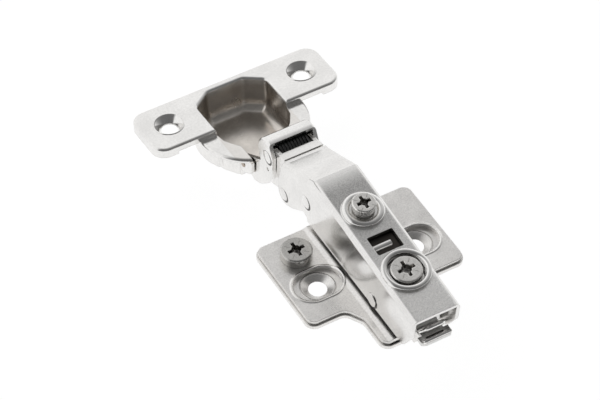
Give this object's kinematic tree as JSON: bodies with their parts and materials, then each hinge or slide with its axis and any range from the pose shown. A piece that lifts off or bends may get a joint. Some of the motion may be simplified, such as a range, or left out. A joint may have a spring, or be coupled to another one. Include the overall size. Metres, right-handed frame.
{
  "type": "concealed cup hinge",
  "caption": "Concealed cabinet hinge, door open: round hinge cup with screw wings, double link, folded hinge arm with adjusting screws, on a two-layer cross mounting plate with a height cam.",
  "frame": {"origin": "midway between the mounting plate's two screw holes, on the plate's screw face", "axes": "+X across the hinge through both plate holes, +Y along the arm towards the cup, +Z away from the cabinet side"},
  "size_m": [0.0628, 0.1228, 0.0378],
  "materials": {
    "arm_nickel": "satin nickel plate, finely grained on top, bright at the bends",
    "plate_nickel": "satin nickel plate",
    "link_nickel": "bright nickel plate",
    "cup_nickel": "bright nickel plate, darker inside the drawn pocket",
    "screw_zinc": "tumbled zinc plate with a darker cross recess",
    "rivet_nickel": "bright nickel plate",
    "pin_bronzed": "oiled brown steel",
    "spring_black": "black oxidised spring wire"
  },
  "bodies": {
    "plate": {"lower_plate": "plate_nickel"},
    "rail": {"upper_plate": "plate_nickel", "clip_base": "arm_nickel", "front_hook_pin": "rivet_nickel", "latch_pin": "rivet_nickel"},
    "height_cam": {"height_cam_screw": "screw_zinc"},
    "latch": {"latch_lever": "link_nickel", "latch_spring": "spring_black"},
    "slide": {"depth_slide": "arm_nickel", "tilt_pins": "rivet_nickel"},
    "depth_cam": {"depth_cam_screw": "screw_zinc"},
    "arm": {"arm_body": "arm_nickel", "front_pin": "rivet_nickel", "inner_link_pin": "rivet_nickel", "guide_pin": "rivet_nickel", "torsion_spring": "spring_black"},
    "side_adjuster": {"side_screw": "screw_zinc"},
    "outer": {"outer_link": "link_nickel"},
    "cup": {"hinge_cup": "cup_nickel", "cup_outer_rivets": "pin_bronzed", "cup_inner_pin": "pin_bronzed"},
    "inner": {"inner_link": "link_nickel"}
  },
  "joints": [
    {"name": "height_adjust", "type": "slide", "parent": "plate", "child": "rail", "axis": [1, 0, 0], "range_m": [-0.002, 0.002]},
    {"name": "height_cam_turn", "type": "hinge", "parent": "rail", "child": "height_cam", "pos_m": [-0.0162, 0.0117, 0.0013], "axis": [0, 0, 1], "range_deg": [-60, 60]},
    {"name": "latch_swing", "type": "hinge", "parent": "rail", "child": "latch", "pos_m": [0, -0.027, 0.0098], "axis": [1, 0, 0], "range_deg": [-15, 0], "stiffness_Nm_per_rad": 0.02, "springref_deg": 17.19},
    {"name": "depth_adjust", "type": "slide", "parent": "rail", "child": "slide", "axis": [0, 0.9961, 0.088], "range_m": [-0.002, 0.002]},
    {"name": "depth_cam_turn", "type": "hinge", "parent": "slide", "child": "depth_cam", "pos_m": [0, -0.02, 0.01922], "axis": [0, -0.088, 0.9961], "range_deg": [-180, 180]},
    {"name": "arm_tilt", "type": "hinge", "parent": "slide", "child": "arm", "pos_m": [0, -0.0153, 0.0064], "axis": [1, 0, 0], "range_deg": [-1, 1.5]},
    {"name": "side_screw_turn", "type": "hinge", "parent": "arm", "child": "side_adjuster", "pos_m": [0, 0.0031, 0.02126], "axis": [0, -0.088, 0.9961], "range_deg": [-120, 180]},
    {"name": "outer_link_swing", "type": "hinge", "parent": "arm", "child": "outer", "pos_m": [0, 0.0433, 0.0095], "axis": [1, 0, 0], "range_deg": [-30.8, 0]},
    {"name": "cup_swing", "type": "hinge", "parent": "outer", "child": "cup", "pos_m": [0, 0.05494, -0.00367], "axis": [1, 0, 0], "range_deg": [0, 126.2]},
    {"name": "inner_link_swing", "type": "hinge", "parent": "cup", "child": "inner", "pos_m": [0, 0.05199, -0.00577], "axis": [1, 0, 0], "range_deg": [-111.8, 0]}
  ],
  "couplings": [
    {"joint": "height_cam_turn", "follows": "height_adjust", "rad_per_m": -523.59},
    {"joint": "depth_cam_turn", "follows": "depth_adjust", "rad_per_m": 1570.8},
    {"joint": "side_screw_turn", "follows": "arm_tilt", "ratio": 119.99},
    {"joint": "outer_link_swing", "follows": "cup_swing", "ratio": -0.2434},
    {"joint": "inner_link_swing", "follows": "cup_swing", "ratio": -0.8849}
  ]
}
